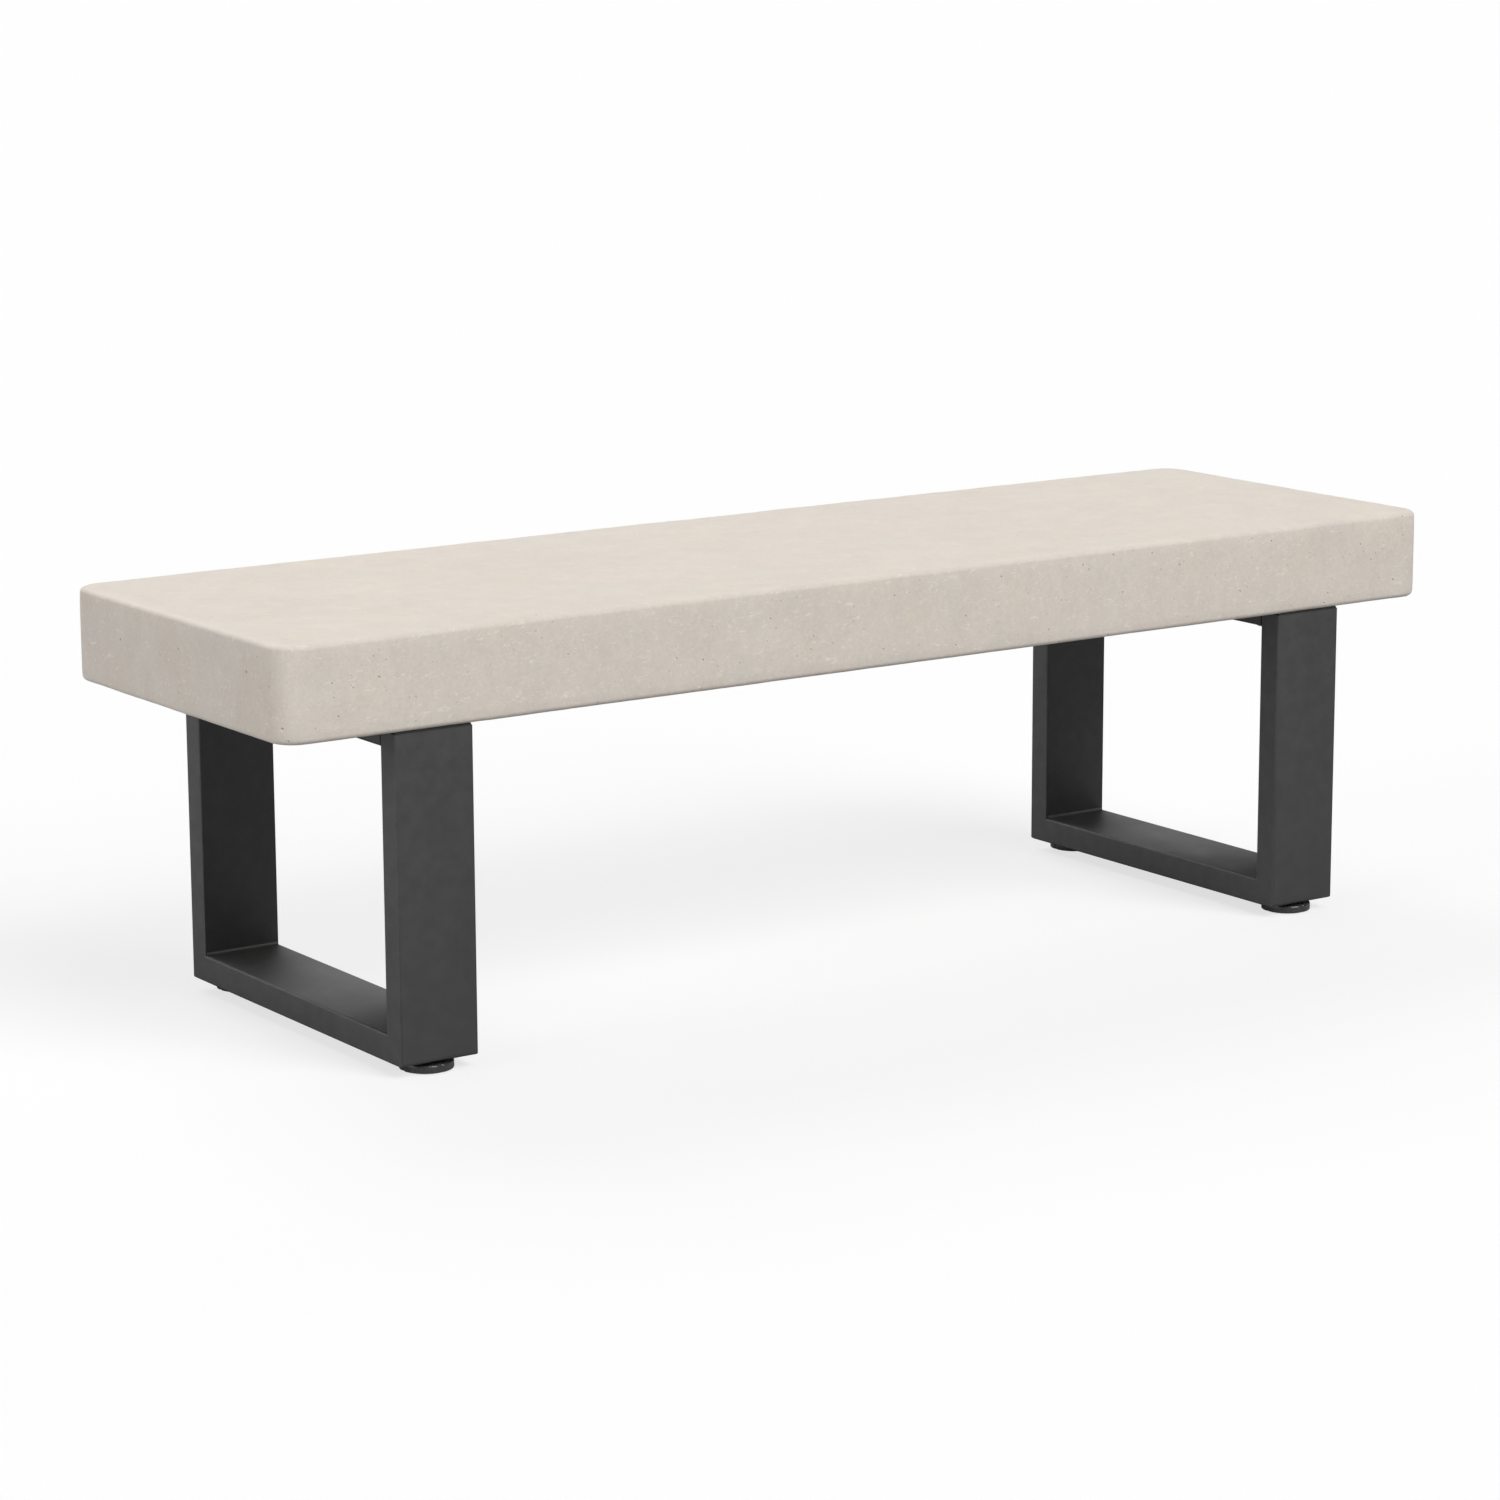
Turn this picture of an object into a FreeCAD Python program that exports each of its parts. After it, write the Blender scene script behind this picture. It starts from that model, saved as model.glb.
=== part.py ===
import FreeCAD, Part
import os

import Sketcher
from FreeCAD import Rotation, Vector

# A backless street bench: a reinforced concrete seat on two welded steel loop
# legs, each leg bolted to sockets cast in the seat and standing on two
# screw-adjusted feet.
#
# Frame: +X along the seat, +Y to the back, +Z up. The origin is on the floor,
# under the middle of the seat, with the feet at their middle setting.
# "left" is the leg at -X, "front" is -Y. Lengths are millimetres.

doc = FreeCAD.newDocument("backless_bench")

driving_sizes = [
    ("seat_length", 1500, "seat, end to end"),
    ("seat_depth", 455, "seat, front to back"),
    ("seat_thickness", 100, "seat slab"),
    ("seat_height", 455, "floor to the top of the seat"),
    ("seat_corner", 29, "radius of the seat's upright corners"),
    ("seat_top_edge", 6, "rounding of the top arris"),
    ("seat_low_edge", 6, "rounding of the lower arris"),
    ("leg_centre", 577, "middle of the seat to the middle of a leg"),
    ("leg_depth", 447, "leg, front to back"),
    ("tube_width", 90, "wide side of the leg tube"),
    ("tube_depth", 30, "narrow side of the leg tube"),
    ("tube_wall", 3, "leg tube's wall"),
    ("tube_edge", 2.5, "outer rounding of the tube's long edges"),
    ("tube_inner_edge", 1, "inner rounding of the tube's long edges"),
    ("loop_corner", 6, "rounding of the leg's lower outer corners"),
    ("rail_lift", 12, "floor to the underside of the bottom rail"),
    ("plate_thickness", 16, "leg's top plate"),
    ("plate_edge", 2.5, "rounding of the plate's lower long edges"),
    ("weld_leg", 3, "size of the weld fillets inside the loop"),
    ("gasket_thickness", 2, "gasket between the plate and the seat"),
    ("gasket_margin", 1.5, "gasket's distance inside the leg's outline"),
    ("bolt_pitch", 150, "spacing of a leg's seat bolts"),
    ("bolt_count", 3, "seat bolts in a leg"),
    ("bolt_diameter", 12, "seat bolt"),
    ("bolt_length", 45, "seat bolt under its head"),
    ("bolt_flats", 18, "seat bolt's head across flats"),
    ("bolt_head", 7.5, "height of the seat bolt's head"),
    ("bolt_face", 17, "flat circle on the head, inside its bevelled corners"),
    ("bolt_bevel", 30, "slope of the head's bevel, in degrees"),
    ("bolt_hole", 13.5, "bolt holes in the plate and the gasket"),
    ("washer_diameter", 24, "washer, outside"),
    ("washer_bore", 13, "washer, inside"),
    ("washer_thickness", 2.5, "washer"),
    ("socket_diameter", 18, "cast-in socket"),
    ("socket_length", 50, "cast-in socket"),
    ("socket_bore", 12.2, "cast-in socket's bore"),
    ("socket_bore_depth", 36, "cast-in socket's bore"),
    ("socket_foot", 26, "anchor collar at the socket's closed end"),
    ("socket_foot_height", 6, "anchor collar's height"),
    ("bar_diameter", 8, "long reinforcing bar"),
    ("bar_cover", 30, "concrete past the ends of the bars"),
    ("bar_count", 4, "bars in the upper layer and in the lower layer"),
    ("stirrup_diameter", 6, "reinforcing stirrup"),
    ("stirrup_side_cover", 25, "concrete in front of and behind the stirrups"),
    ("stirrup_face_cover", 20, "concrete above and below the stirrups"),
    ("stirrup_bend", 16, "bend radius of the stirrups, at their centre line"),
    ("stirrup_pitch", 200, "spacing of the stirrups"),
    ("stirrup_count", 7, "stirrups"),
    ("bar_gap", 0.5, "concrete between a bar and the bend of the stirrups it nests in"),
    ("foot_inset", 28, "leg's front or back face to the foot's axis"),
    ("insert_bore", 10, "threaded insert, at its thread"),
    ("insert_body", 12.9, "threaded insert, outside"),
    ("insert_hole", 13, "hole for the insert in the rail"),
    ("insert_flange", 18, "insert's flange under the rail"),
    ("insert_flange_thickness", 1, "insert's flange"),
    ("insert_collar", 16, "insert's upset collar inside the rail"),
    ("insert_collar_height", 3, "insert's upset collar"),
    ("insert_length", 17, "insert above the underside of the rail"),
    ("drain_hole", 8, "drain holes in the underside of the rail"),
    ("drain_place", 120, "middle of the rail to a drain hole"),
    ("stud_diameter", 9.9, "foot's threaded stud"),
    ("stud_top", 34, "floor to the top of the stud"),
    ("stud_tip", 1.2, "bevel at the stud's tip"),
    ("stud_flats", 15, "stud's hexagon head across flats"),
    ("stud_head_low", 5, "floor to the underside of the stud's head"),
    ("stud_head_height", 3, "stud's head"),
    ("disc_diameter", 56, "foot disc"),
    ("disc_low", 1, "floor to the disc's rim"),
    ("disc_top", 9, "floor to the top of the disc"),
    ("disc_edge", 1.2, "bevel of the disc's rim"),
    ("disc_recess", 50.8, "recess for the sole"),
    ("disc_recess_depth", 2, "recess for the sole"),
    ("disc_socket", 12, "disc's bore round the sole's pivot"),
    ("disc_socket_top", 4.8, "floor to the end of that bore"),
    ("notch_width", 5, "grip notches in the disc's rim"),
    ("notch_depth", 1.4, "grip notches in the disc's rim"),
    ("notch_count", 4, "grip notches in the disc's rim"),
    ("sole_diameter", 50, "sole pad"),
    ("sole_thickness", 2.8, "sole pad"),
    ("sole_edge", 0.8, "rounding of the sole's lower edge"),
    ("pivot_diameter", 11.9, "sole's pivot"),
    ("pivot_top", 4.6, "floor to the top of the sole's pivot"),
    ("spare", 5, "how far a cutting shape runs past what it cuts"),
]

sheet = doc.addObject("Spreadsheet::Sheet", "dims")
for row, (alias, number, note) in enumerate(driving_sizes, 1):
    sheet.set(f"A{row}", alias)
    sheet.set(f"B{row}", str(number))
    sheet.set(f"C{row}", note)
    sheet.setAlias(f"B{row}", alias)
doc.recompute()

# Heights and places that follow from the driving sizes.
seat_low = "(dims.seat_height - dims.seat_thickness)"
plate_top = f"({seat_low} - dims.gasket_thickness)"
plate_low = f"({plate_top} - dims.plate_thickness)"
washer_low = f"({plate_low} - dims.washer_thickness)"
rail_top = "(dims.rail_lift + dims.tube_depth)"
half_leg = "(dims.leg_depth / 2)"
half_tube = "(dims.tube_depth / 2)"
inside_leg = f"({half_leg} - dims.tube_depth)"
first_bolt = "(dims.bolt_pitch * (dims.bolt_count - 1) / 2)"
bolt_row = "(dims.bolt_pitch * (dims.bolt_count - 1))"
foot_place = f"({half_leg} - dims.foot_inset)"

parts = []


def value(expression):
    """The number that an expression on the sheet gives."""
    return float(sheet.evalExpression(expression))


def new_body(label):
    """A body that becomes the part of that name; it may hold separate solids."""
    body = doc.addObject("PartDesign::Body", label)
    body.Label = label
    body.AllowCompound = True
    return body


def origin_plane(body, role):
    return next(item for item in body.Origin.OriginFeatures if item.Role == role)


def new_sketch(body, role, lift=None):
    """A sketch on one of the body's own planes, raised along its normal by lift."""
    sketch = body.newObject("Sketcher::SketchObject", body.Label + "_sketch")
    sketch.AttachmentSupport = [(origin_plane(body, role), "")]
    sketch.MapMode = "FlatFace"
    if lift:
        sketch.setExpression("AttachmentOffset.Base.z", lift)
    return sketch


def hold(sketch, kind, geometry, position, expression):
    """Fix one coordinate of a point, measured from the sketch's origin."""
    rule = Sketcher.Constraint(kind, -1, 1, geometry, position, value(expression))
    index = sketch.addConstraint(rule)
    sketch.setExpression(f"Constraints[{index}]", expression)


def add_outline(sketch, points):
    """A closed outline. Each point is (x, y); a third item is the radius of the
    arc that runs from that point to the next, bulging to the right of the way
    along if it is positive and to the left if it is negative."""
    places = [Vector(value(p[0]), value(p[1]), 0) for p in points]
    first = sketch.GeometryCount
    for number, point in enumerate(points):
        start = places[number]
        end = places[(number + 1) % len(places)]
        if len(point) == 3:
            sketch.addGeometry(corner_arc(start, end, value(point[2])))
        else:
            sketch.addGeometry(Part.LineSegment(start, end))
    for number, point in enumerate(points):
        here = first + number
        before = first + (number - 1) % len(points)
        start_end = ends[here_is_reversed(sketch, here, places[number])]
        before_end = ends[here_is_reversed(sketch, before, places[number])]
        sketch.addConstraint(Sketcher.Constraint("Coincident", before, before_end, here, start_end))
        hold(sketch, "DistanceX", here, start_end, point[0])
        hold(sketch, "DistanceY", here, start_end, point[1])
        if len(point) == 3:
            size = point[2].lstrip("-")
            index = sketch.addConstraint(Sketcher.Constraint("Radius", here, abs(value(size))))
            sketch.setExpression(f"Constraints[{index}]", size)


ends = {False: 1, True: 2}


def here_is_reversed(sketch, geometry, place):
    """Whether the geometry has that place as its end rather than its start."""
    return (sketch.getPoint(geometry, 1) - place).Length > 1e-6


def corner_arc(start, end, radius):
    chord = end - start
    sideways = Vector(chord.y, -chord.x, 0).normalize()
    rise = abs(radius) - (radius ** 2 - (chord.Length / 2) ** 2) ** 0.5
    middle = (start + end) / 2 + sideways * (rise if radius > 0 else -rise)
    return Part.Arc(start, middle, end)


def add_rectangle(sketch, width, height, x="0", y="0"):
    """A rectangle round the point (x, y)."""
    left, right = f"{x} - {width} / 2", f"{x} + {width} / 2"
    low, high = f"{y} - {height} / 2", f"{y} + {height} / 2"
    add_outline(sketch, [(left, low), (right, low), (right, high), (left, high)])


def add_circle(sketch, diameter, x="0", y="0"):
    place = Vector(value(x), value(y), 0)
    index = sketch.addGeometry(Part.Circle(place, Vector(0, 0, 1), value(diameter) / 2))
    rule = sketch.addConstraint(Sketcher.Constraint("Diameter", index, value(diameter)))
    sketch.setExpression(f"Constraints[{rule}]", diameter)
    hold(sketch, "DistanceX", index, 3, x)
    hold(sketch, "DistanceY", index, 3, y)


def add_hexagon(sketch, flats):
    """A hexagon across flats, round the origin, two of its corners on the X axis."""
    reach = f"({flats} / sqrt(3))"
    corner = [(reach, "0"), (f"{reach} / 2", f"{flats} / 2"), (f"-{reach} / 2", f"{flats} / 2"),
              (f"-{reach}", "0"), (f"-{reach} / 2", f"-{flats} / 2"), (f"{reach} / 2", f"-{flats} / 2")]
    add_outline(sketch, corner)


def pad(body, sketch, length, symmetric=False):
    feature = body.newObject("PartDesign::Pad", body.Label + "_pad")
    feature.Profile = sketch
    feature.setExpression("Length", length)
    if symmetric:
        feature.SideType = "Symmetric"
    doc.recompute()
    return feature


def pocket(body, sketch, length, symmetric=False, upward=False):
    """Cut the sketch's outline away; upward cuts along the sketch's normal."""
    before = body.Shape.Volume
    feature = body.newObject("PartDesign::Pocket", body.Label + "_pocket")
    feature.Profile = sketch
    feature.setExpression("Length", length)
    feature.Reversed = upward
    if symmetric:
        feature.SideType = "Symmetric"
    doc.recompute()
    if not body.Shape.Volume < before:
        raise RuntimeError(f"{feature.Label} cuts nothing")
    return feature


def turn(body, sketch, kind="Revolution"):
    """Revolve the sketch's outline about the body's Z axis, or cut it away."""
    feature = body.newObject("PartDesign::" + kind, body.Label + "_turned")
    feature.Profile = sketch
    feature.ReferenceAxis = (sketch, ["V_Axis"])
    feature.Angle = 360
    doc.recompute()
    return feature


def row(body, feature, axis, length, count):
    """Repeat a feature in a straight row along the body's X_Axis or Y_Axis."""
    pattern = body.newObject("PartDesign::LinearPattern", body.Label + "_row")
    pattern.Originals = [feature]
    pattern.Direction = (origin_plane(body, axis), [""])
    pattern.setExpression("Length", length)
    pattern.setExpression("Occurrences", count)
    body.Tip = pattern
    doc.recompute()
    return pattern


def mirror(body, features, role):
    """Repeat features on the other side of one of the body's planes."""
    pattern = body.newObject("PartDesign::Mirrored", body.Label + "_mirrored")
    pattern.Originals = features
    pattern.MirrorPlane = (origin_plane(body, role), [""])
    body.Tip = pattern
    doc.recompute()
    return pattern


def dress(body, kind, edges, expression):
    """Round ("Fillet") or bevel ("Chamfer") the edges that the test picks."""
    base = body.Tip
    names = [f"Edge{n}" for n, edge in enumerate(base.Shape.Edges, 1) if edges(edge)]
    feature = body.newObject("PartDesign::" + kind, body.Label + "_edges")
    feature.Base = (base, names)
    feature.setExpression("Radius" if kind == "Fillet" else "Size", expression)
    doc.recompute()
    return feature


def along(edge, direction):
    """Whether an edge is straight and runs along the direction."""
    if not isinstance(edge.Curve, Part.Line):
        return False
    return abs(abs(edge.Curve.Direction.dot(direction)) - 1) < 1e-6


def flat_at(height):
    """A test for edges that lie in the level plane at that height."""
    def test(edge):
        box = edge.BoundBox
        return abs(box.ZMin - height) < 1e-6 and abs(box.ZMax - height) < 1e-6
    return test


def finish_part(item, x="0", y="0", angle=0):
    """Put the part in its place and list it for the hand-over."""
    item.setExpression("Placement.Base.x", x)
    item.setExpression("Placement.Base.y", y)
    item.Placement.Rotation = Rotation(Vector(0, 0, 1), angle)
    parts.append(item)


# The seat's reinforcement: two layers of long bars inside closed stirrups.

def make_bars():
    body = new_body("rebar_bars")
    sketch = new_sketch(body, "YZ_Plane")
    # The outer bars nest in the bends of the stirrups, and the rest keep their height.
    bend = "(dims.stirrup_bend - dims.stirrup_diameter / 2)"
    nest = f"({bend} - ({bend} - dims.bar_diameter / 2 - dims.bar_gap) / sqrt(2))"
    reach = f"(dims.seat_depth / 2 - dims.stirrup_side_cover - dims.stirrup_diameter - {nest})"
    rise = f"(dims.seat_thickness / 2 - dims.stirrup_face_cover - dims.stirrup_diameter - {nest})"
    middle = f"({seat_low} + dims.seat_thickness / 2)"
    for layer in (f"{middle} - {rise}", f"{middle} + {rise}"):
        add_circle(sketch, "dims.bar_diameter", f"-{reach}", layer)
    bar = pad(body, sketch, "dims.seat_length - 2 * dims.bar_cover", symmetric=True)
    row(body, bar, "Y_Axis", f"2 * {reach}", "dims.bar_count")
    finish_part(body)
    return body


def make_stirrups():
    body = new_body("rebar_stirrups")
    first = "(dims.stirrup_pitch * (dims.stirrup_count - 1) / 2)"
    middle = f"({seat_low} + dims.seat_thickness / 2)"
    reach = "(dims.seat_depth / 2 - dims.stirrup_side_cover - dims.stirrup_diameter / 2)"
    rise = "(dims.seat_thickness / 2 - dims.stirrup_face_cover - dims.stirrup_diameter / 2)"
    low, high = f"{middle} - {rise}", f"{middle} + {rise}"
    bend = "dims.stirrup_bend"
    path = new_sketch(body, "YZ_Plane", f"-{first}")
    add_outline(path, [
        ("0", low), (f"{reach} - {bend}", low, bend),
        (reach, f"{low} + {bend}"), (reach, f"{high} - {bend}", bend),
        (f"{reach} - {bend}", high), (f"-{reach} + {bend}", high, bend),
        (f"-{reach}", f"{high} - {bend}"), (f"-{reach}", f"{low} + {bend}", bend),
        (f"-{reach} + {bend}", low)])
    section = new_sketch(body, "XZ_Plane")
    add_circle(section, "dims.stirrup_diameter", f"-{first}", low)
    pipe = body.newObject("PartDesign::AdditivePipe", "stirrup_pipe")
    pipe.Profile = section
    pipe.Spine = (path, [])
    doc.recompute()
    row(body, pipe, "X_Axis", f"2 * {first}", "dims.stirrup_count")
    finish_part(body)
    return body


# Cast-in sockets: a turned steel sleeve, closed and collared at its upper end.

def socket_outline(sketch, bored):
    high = f"({seat_low} + dims.socket_length)"
    under_collar = f"{high} - dims.socket_foot_height"
    outside = [("dims.socket_diameter / 2", seat_low), ("dims.socket_diameter / 2", under_collar),
               ("dims.socket_foot / 2", under_collar), ("dims.socket_foot / 2", high), ("0", high)]
    bore_end = f"{seat_low} + dims.socket_bore_depth"
    if bored:
        inside = [("0", bore_end), ("dims.socket_bore / 2", bore_end),
                  ("dims.socket_bore / 2", seat_low)]
    else:
        inside = [("0", seat_low)]
    add_outline(sketch, outside + inside)


def make_sockets(side, x):
    body = new_body(side + "_sockets")
    sketch = new_sketch(body, "XZ_Plane", first_bolt)
    socket_outline(sketch, bored=True)
    socket = turn(body, sketch)
    row(body, socket, "Y_Axis", bolt_row, "dims.bolt_count")
    finish_part(body, x)


def make_seat(bars, stirrups):
    form = new_body("seat_form")
    sketch = new_sketch(form, "XY_Plane", seat_low)
    add_rectangle(sketch, "dims.seat_length", "dims.seat_depth")
    pad(form, sketch, "dims.seat_thickness")
    dress(form, "Fillet", lambda edge: along(edge, Vector(0, 0, 1)), "dims.seat_corner")
    dress(form, "Fillet", flat_at(value("dims.seat_height")), "dims.seat_top_edge")
    dress(form, "Fillet", flat_at(value(seat_low)), "dims.seat_low_edge")
    for side in ("-", ""):
        sketch = new_sketch(form, "XZ_Plane", first_bolt)
        sketch.setExpression("AttachmentOffset.Base.x", side + "dims.leg_centre")
        socket_outline(sketch, bored=False)
        groove = turn(form, sketch, "Groove")
        row(form, groove, "Y_Axis", bolt_row, "dims.bolt_count")
    cage = doc.addObject("Part::Compound", "cage")
    cage.Links = [bars, stirrups]
    seat = doc.addObject("Part::Cut", "seat_slab")
    seat.Base = form
    seat.Tool = cage
    doc.recompute()
    finish_part(seat)


# A leg: a U of tube, mitred at its lower corners, closed by a flat plate on top.

def add_tube_section(sketch, y="0"):
    inner_width = "(dims.tube_width - 2 * dims.tube_wall)"
    inner_depth = "(dims.tube_depth - 2 * dims.tube_wall)"
    add_rectangle(sketch, "dims.tube_width", "dims.tube_depth", y=y)
    add_rectangle(sketch, inner_width, inner_depth, y=y)


def round_tube(body, direction):
    half = value("dims.tube_width / 2")

    def outer(edge):
        return along(edge, direction) and abs(abs(edge.CenterOfMass.x) - half) < 1e-6

    def inner(edge):
        return along(edge, direction) and abs(edge.CenterOfMass.x) < half - 1
    dress(body, "Fillet", outer, "dims.tube_edge")
    dress(body, "Fillet", inner, "dims.tube_inner_edge")


def corner_cut(body, face):
    """Round the loop's lower corner, whose outer face is at -face along Y."""
    sketch = new_sketch(body, "YZ_Plane")
    low = "dims.rail_lift"
    add_outline(sketch, [
        (f"-{face}", low), (f"-{face} + dims.loop_corner", low, "-dims.loop_corner"),
        (f"-{face}", f"{low} + dims.loop_corner")])
    return pocket(body, sketch, "dims.tube_width + dims.spare", symmetric=True)


def mitre_cut(body, face, keep_upright):
    """Cut along the 45 degree line through the corner at (-face, rail_lift)."""
    sketch = new_sketch(body, "YZ_Plane")
    low, high = "dims.rail_lift - dims.spare", f"{rail_top} + dims.spare"
    outer, inner = f"-{face} - dims.spare", f"-{face} + dims.tube_depth + dims.spare"
    third = (inner, low) if keep_upright else (outer, high)
    outline = [(outer, low), third, (inner, high)]
    add_outline(sketch, outline)
    return pocket(body, sketch, "dims.tube_width + dims.spare", symmetric=True)


def make_upright(side, end, x):
    body = new_body(f"{side}_{end}_upright")
    sketch = new_sketch(body, "XY_Plane", "dims.rail_lift")
    add_tube_section(sketch)
    pad(body, sketch, f"{plate_top} - dims.rail_lift")
    round_tube(body, Vector(0, 0, 1))
    mitre_cut(body, half_tube, keep_upright=True)
    corner_cut(body, half_tube)
    place_end(body, end, x, f"({half_leg} - {half_tube})")


def place_end(body, end, x, reach):
    """Put a part at the leg's front, or turned round at its back."""
    if end == "front":
        finish_part(body, x, f"-{reach}")
    else:
        finish_part(body, x, reach, 180)


def make_cap(side, end, x):
    body = new_body(f"{side}_{end}_cap")
    sketch = new_sketch(body, "XY_Plane", f"{plate_top} - dims.tube_wall")
    add_rectangle(sketch, "(dims.tube_width - 2 * dims.tube_wall)",
                  "(dims.tube_depth - 2 * dims.tube_wall)")
    pad(body, sketch, "dims.tube_wall")
    dress(body, "Fillet", lambda edge: along(edge, Vector(0, 0, 1)), "dims.tube_inner_edge")
    place_end(body, end, x, f"({half_leg} - {half_tube})")


def make_rail(side, x):
    body = new_body(side + "_bottom_rail")
    sketch = new_sketch(body, "XZ_Plane")
    add_tube_section(sketch, f"(dims.rail_lift + {half_tube})")
    pad(body, sketch, "dims.leg_depth", symmetric=True)
    round_tube(body, Vector(0, 1, 0))
    mitre = mitre_cut(body, half_leg, keep_upright=False)
    corner = corner_cut(body, half_leg)
    holes = new_sketch(body, "XY_Plane", "dims.rail_lift")
    add_circle(holes, "dims.insert_hole", y=f"-{foot_place}")
    add_circle(holes, "dims.drain_hole", y="-dims.drain_place")
    drilled = pocket(body, holes, "dims.tube_wall", upward=True)
    mirror(body, [mitre, corner, drilled], "XZ_Plane")
    finish_part(body, x)


def make_plate(side, x):
    body = new_body(side + "_top_plate")
    sketch = new_sketch(body, "XY_Plane", plate_low)
    add_rectangle(sketch, "dims.tube_width", f"(2 * {inside_leg})")
    pad(body, sketch, "dims.plate_thickness")
    low_edge = flat_at(value(plate_low))
    dress(body, "Fillet", lambda edge: low_edge(edge) and along(edge, Vector(0, 1, 0)), "dims.plate_edge")
    hole = new_sketch(body, "XY_Plane", plate_low)
    add_circle(hole, "dims.bolt_hole", y=f"-{first_bolt}")
    drilled = pocket(body, hole, "dims.plate_thickness", upward=True)
    row(body, drilled, "Y_Axis", bolt_row, "dims.bolt_count")
    finish_part(body, x)


def make_welds(side, x):
    """The four hollow-faced weld fillets inside the loop."""
    body = new_body(side + "_welds")
    sketch = new_sketch(body, "YZ_Plane")
    size = "dims.weld_leg"
    corner_y = f"-{inside_leg}"
    add_outline(sketch, [
        (corner_y, rail_top), (f"{corner_y} + {size}", rail_top, "-" + size),
        (corner_y, f"{rail_top} + {size}")])
    add_outline(sketch, [
        (corner_y, plate_low), (corner_y, f"{plate_low} - {size}", "-" + size),
        (f"{corner_y} + {size}", plate_low)])
    bead = pad(body, sketch, "dims.tube_width - 2 * dims.tube_edge", symmetric=True)
    mirror(body, [bead], "XZ_Plane")
    finish_part(body, x)


def make_gasket(side, x):
    body = new_body(side + "_gasket")
    sketch = new_sketch(body, "XY_Plane", plate_top)
    add_rectangle(sketch, "(dims.tube_width - 2 * dims.gasket_margin)",
                  "(dims.leg_depth - 2 * dims.gasket_margin)")
    pad(body, sketch, "dims.gasket_thickness")
    hole = new_sketch(body, "XY_Plane", plate_top)
    add_circle(hole, "dims.bolt_hole", y=f"-{first_bolt}")
    punched = pocket(body, hole, "dims.gasket_thickness", upward=True)
    row(body, punched, "Y_Axis", bolt_row, "dims.bolt_count")
    finish_part(body, x)


# Seat bolts: hexagon heads with bevelled corners, on washers under the plate.

def make_bolts(side, x):
    body = new_body(side + "_bolts")
    head_low = f"{washer_low} - dims.bolt_head"
    head = new_sketch(body, "XY_Plane", head_low)
    add_hexagon(head, "dims.bolt_flats")
    head.setExpression("AttachmentOffset.Base.y", f"-{first_bolt}")
    head_pad = pad(body, head, "dims.bolt_head")
    shank = new_sketch(body, "XY_Plane", washer_low)
    add_circle(shank, "dims.bolt_diameter", y=f"-{first_bolt}")
    shank_pad = pad(body, shank, "dims.bolt_length")
    bevel = new_sketch(body, "XZ_Plane", first_bolt)
    reach, past = "dims.bolt_face / 2", "dims.bolt_face / 2 + dims.spare"
    rise = "dims.spare * tan(dims.bolt_bevel)"
    add_outline(bevel, [
        (reach, f"{head_low} - dims.spare"), (past, f"{head_low} - dims.spare"),
        (past, f"{head_low} + {rise}"), (reach, head_low)])
    bevel_cut = turn(body, bevel, "Groove")
    pattern = row(body, head_pad, "Y_Axis", bolt_row, "dims.bolt_count")
    pattern.Originals = [head_pad, shank_pad, bevel_cut]
    doc.recompute()
    finish_part(body, x)


def make_washers(side, x):
    body = new_body(side + "_washers")
    sketch = new_sketch(body, "XY_Plane", washer_low)
    add_circle(sketch, "dims.washer_diameter", y=f"-{first_bolt}")
    add_circle(sketch, "dims.washer_bore", y=f"-{first_bolt}")
    washer = pad(body, sketch, "dims.washer_thickness")
    row(body, washer, "Y_Axis", bolt_row, "dims.bolt_count")
    finish_part(body, x)


# Feet: an insert fixed in the rail, a stud moulded into a disc, and a sole that
# stays still on the floor while the disc turns on its pivot.

def make_insert(corner, x, y):
    body = new_body(corner + "_insert")
    sketch = new_sketch(body, "XZ_Plane")
    bore, shell = "dims.insert_bore / 2", "dims.insert_body / 2"
    under = "dims.rail_lift"
    wall_top = f"{under} + dims.tube_wall"
    collar_top = f"{wall_top} + dims.insert_collar_height"
    top = f"{under} + dims.insert_length"
    add_outline(sketch, [
        (bore, f"{under} - dims.insert_flange_thickness"),
        ("dims.insert_flange / 2", f"{under} - dims.insert_flange_thickness"),
        ("dims.insert_flange / 2", under), (shell, under), (shell, wall_top),
        ("dims.insert_collar / 2", wall_top), ("dims.insert_collar / 2", collar_top),
        (shell, collar_top), (shell, top), (bore, top)])
    turn(body, sketch)
    finish_part(body, x, y)


def make_stud(corner, x, y):
    body = new_body(corner + "_stud")
    head = new_sketch(body, "XY_Plane", "dims.stud_head_low")
    add_hexagon(head, "dims.stud_flats")
    pad(body, head, "dims.stud_head_height")
    shank = new_sketch(body, "XY_Plane", "dims.stud_head_low")
    add_circle(shank, "dims.stud_diameter")
    pad(body, shank, "dims.stud_top - dims.stud_head_low")
    dress(body, "Chamfer", flat_at(value("dims.stud_top")), "dims.stud_tip")
    finish_part(body, x, y)


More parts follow.
